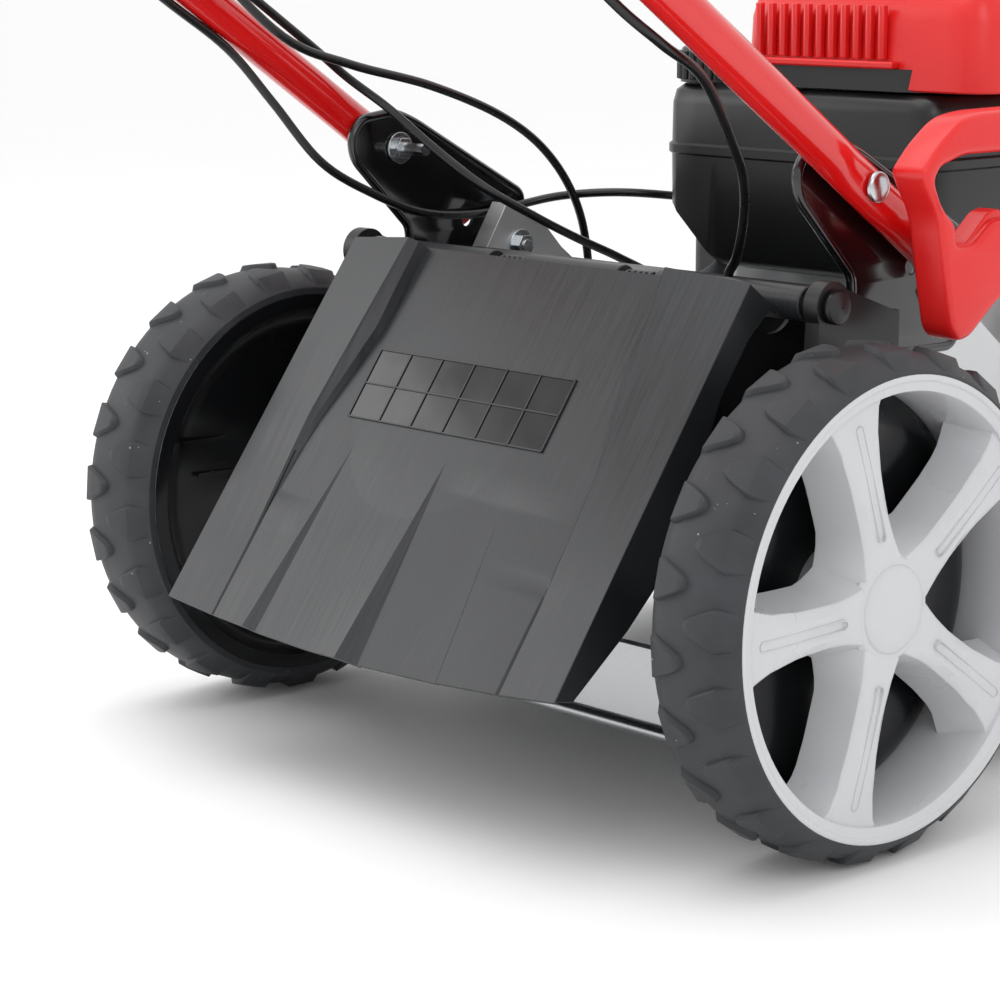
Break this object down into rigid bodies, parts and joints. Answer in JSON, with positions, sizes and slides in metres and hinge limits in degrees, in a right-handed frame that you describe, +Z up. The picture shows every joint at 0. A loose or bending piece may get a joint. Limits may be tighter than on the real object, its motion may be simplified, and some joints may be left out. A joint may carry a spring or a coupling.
{
  "type": "lawn mower",
  "caption": "Walk-behind petrol lawn mower with spoked wheels, rear discharge flap, side height handle, engine and a folding bar handle with two bails.",
  "frame": {"origin": "middle of the whole part's box, on the ground", "axes": "+X to the operator's right, +Y forward, +Z up"},
  "size_m": [0.5566, 1.6401, 1.0584],
  "materials": {
    "aluminium_casting": "satin",
    "galvanised_sheet": "satin",
    "moulded_black": "satin",
    "flap_plastic": "moulded grain",
    "zinc_steel": "zinc plated",
    "black_paint": "gloss",
    "dark_steel": "phosphated",
    "red_paint": "gloss",
    "red_plastic": "satin",
    "tyre_grey": "matt",
    "rim_silver": "silver satin",
    "bush_nylon": "moulded",
    "engine_alloy": "cast",
    "porcelain": "glazed",
    "tank_plastic": "satin",
    "hose_rubber": "matt",
    "yellow_plastic": "satin",
    "rope_nylon": "braided",
    "blade_steel": "satin",
    "belt_rubber": "matt",
    "grip_foam": "foam",
    "cable_sheath": "satin",
    "muffler_steel": "heat-tinted"
  },
  "bodies": {
    "root": {"deck": "aluminium_casting", "rear_skirt": "galvanised_sheet", "discharge_chute": "moulded_black", "flap_hinge_rod": "zinc_steel", "flap_spring": "dark_steel", "handle_bracket_left": "black_paint", "handle_bracket_right": "black_paint", "handle_bolts": "zinc_steel", "height_handle": "red_plastic", "crankcase": "engine_alloy", "cylinder": "engine_alloy", "spark_plug": "porcelain", "carburettor": "engine_alloy", "air_filter": "moulded_black", "muffler": "muffler_steel", "blower_housing": "moulded_black", "engine_cover": "red_plastic", "fuel_tank": "tank_plastic", "fuel_hose": "hose_rubber", "starter_rope": "rope_nylon", "drive_belt": "belt_rubber", "lower_tube_left": "red_paint", "lower_tube_right": "red_paint", "cables": "cable_sheath"},
    "flap_body": {"flap": "flap_plastic"},
    "rear_swing": {"rear_axle": "dark_steel", "wheel_bushes_rear": "bush_nylon", "gearbox": "engine_alloy"},
    "front_swing": {"front_axle": "dark_steel", "wheel_bushes_front": "bush_nylon"},
    "link": {"height_link": "zinc_steel"},
    "wheel_rear_left": {"tyre_rear_left": "tyre_grey", "rim_rear_left": "rim_silver", "wheel_disc_left": "moulded_black", "hub_cap_left": "rim_silver"},
    "wheel_rear_right": {"tyre_rear_right": "tyre_grey", "rim_rear_right": "rim_silver", "wheel_disc_right": "moulded_black", "hub_cap_right": "rim_silver"},
    "wheel_front_left": {"tyre_front_left": "tyre_grey", "rim_front_left": "rim_silver"},
    "wheel_front_right": {"tyre_front_right": "tyre_grey", "rim_front_right": "rim_silver"},
    "crank": {"crankshaft": "dark_steel", "flywheel": "engine_alloy", "blade_adapter": "dark_steel", "blade": "blade_steel", "blade_bolt": "zinc_steel"},
    "box_pulley": {"gearbox_pulley": "dark_steel"},
    "trigger": {"height_trigger": "red_plastic"},
    "handle_top": {"upper_handle": "red_paint", "handle_grip": "grip_foam"},
    "clamp_left": {"clamp_lever_left": "moulded_black"},
    "clamp_right": {"clamp_lever_right": "moulded_black"},
    "stop_lever": {"stop_bail": "red_paint"},
    "drive_lever": {"drive_bail": "black_paint"},
    "throttle_lever": {"throttle": "moulded_black"},
    "tank_cap": {"fuel_cap": "moulded_black"},
    "dipstick_cap": {"oil_cap": "yellow_plastic"},
    "pull_grip": {"starter_grip": "moulded_black"}
  },
  "joints": [
    {"name": "flap_hinge", "type": "hinge", "parent": "root", "child": "flap_body", "pos_m": [0, 0.1513, 0.2913], "axis": [-1, 0, 0], "range_deg": [0, 60], "stiffness_Nm_per_rad": 0.6},
    {"name": "height_adjust", "type": "hinge", "parent": "root", "child": "rear_swing", "pos_m": [0, 0.182, 0.15], "axis": [1, 0, 0], "range_deg": [0, 45], "deforming": ["drive_belt"]},
    {"name": "front_height", "type": "hinge", "parent": "root", "child": "front_swing", "pos_m": [0, 0.782, 0.11], "axis": [1, 0, 0], "range_deg": [0, 45]},
    {"name": "link_pivot", "type": "hinge", "parent": "rear_swing", "child": "link", "pos_m": [0, 0.182, 0.24], "axis": [1, 0, 0], "range_deg": [-45, 0]},
    {"name": "wheel_rear_left_spin", "type": "hinge", "parent": "rear_swing", "child": "wheel_rear_left", "pos_m": [0, 0.12, 0.14], "axis": [1, 0, 0], "continuous": true},
    {"name": "wheel_rear_right_spin", "type": "hinge", "parent": "rear_swing", "child": "wheel_rear_right", "pos_m": [0, 0.12, 0.14], "axis": [1, 0, 0], "continuous": true},
    {"name": "wheel_front_left_spin", "type": "hinge", "parent": "front_swing", "child": "wheel_front_left", "pos_m": [0, 0.72, 0.1], "axis": [1, 0, 0], "continuous": true},
    {"name": "wheel_front_right_spin", "type": "hinge", "parent": "front_swing", "child": "wheel_front_right", "pos_m": [0, 0.72, 0.1], "axis": [1, 0, 0], "continuous": true},
    {"name": "crank_spin", "type": "hinge", "parent": "root", "child": "crank", "pos_m": [0, 0.45, 0.2], "axis": [0, 0, 1], "continuous": true},
    {"name": "box_pulley_spin", "type": "hinge", "parent": "rear_swing", "child": "box_pulley", "pos_m": [0.145, 0.138, 0.16], "axis": [0, 0, 1], "continuous": true},
    {"name": "height_trigger_pull", "type": "slide", "parent": "root", "child": "trigger", "axis": [0, 0, 1], "range_m": [0, 0.008], "stiffness_N_per_m": 400},
    {"name": "handle_fold", "type": "hinge", "parent": "root", "child": "handle_top", "pos_m": [0, -0.23008, 0.62721], "axis": [-1, 0, 0], "range_deg": [0, 150], "deforming": ["cables"]},
    {"name": "clamp_left_turn", "type": "hinge", "parent": "handle_top", "child": "clamp_left", "pos_m": [-0.24, -0.23008, 0.62721], "axis": [1, 0, 0], "range_deg": [0, 120]},
    {"name": "clamp_right_turn", "type": "hinge", "parent": "handle_top", "child": "clamp_right", "pos_m": [0.24, -0.23008, 0.62721], "axis": [1, 0, 0], "range_deg": [0, 120]},
    {"name": "stop_bail_squeeze", "type": "hinge", "parent": "handle_top", "child": "stop_lever", "pos_m": [0, -0.68605, 0.93476], "axis": [1, 0, 0], "range_deg": [0, 24.5], "stiffness_Nm_per_rad": 1.5},
    {"name": "drive_bail_squeeze", "type": "hinge", "parent": "handle_top", "child": "drive_lever", "pos_m": [0, -0.66947, 0.92358], "axis": [-1, 0, 0], "range_deg": [0, 21.5], "stiffness_Nm_per_rad": 1.5},
    {"name": "throttle_turn", "type": "hinge", "parent": "handle_top", "child": "throttle_lever", "pos_m": [0.2235, -0.56239, 0.87668], "axis": [1, 0, 0], "range_deg": [-30, 30]},
    {"name": "fuel_cap_turn", "type": "hinge", "parent": "root", "child": "tank_cap", "pos_m": [-0.06, 0.338, 0.396], "axis": [0, 0, 1], "range_deg": [0, 90]},
    {"name": "oil_cap_turn", "type": "hinge", "parent": "root", "child": "dipstick_cap", "pos_m": [-0.097, 0.53, 0.272], "axis": [0, 0, 1], "range_deg": [0, 90]},
    {"name": "starter_pull", "type": "slide", "parent": "root", "child": "pull_grip", "axis": [0, -0.6428, 0.766], "range_m": [0, 0.45], "stiffness_N_per_m": 20, "deforming": ["starter_rope"]}
  ],
  "couplings": [
    {"joint": "front_height", "follows": "height_adjust", "ratio": 1},
    {"joint": "link_pivot", "follows": "height_adjust", "ratio": -1},
    {"joint": "box_pulley_spin", "follows": "crank_spin", "ratio": 0.62857}
  ]
}
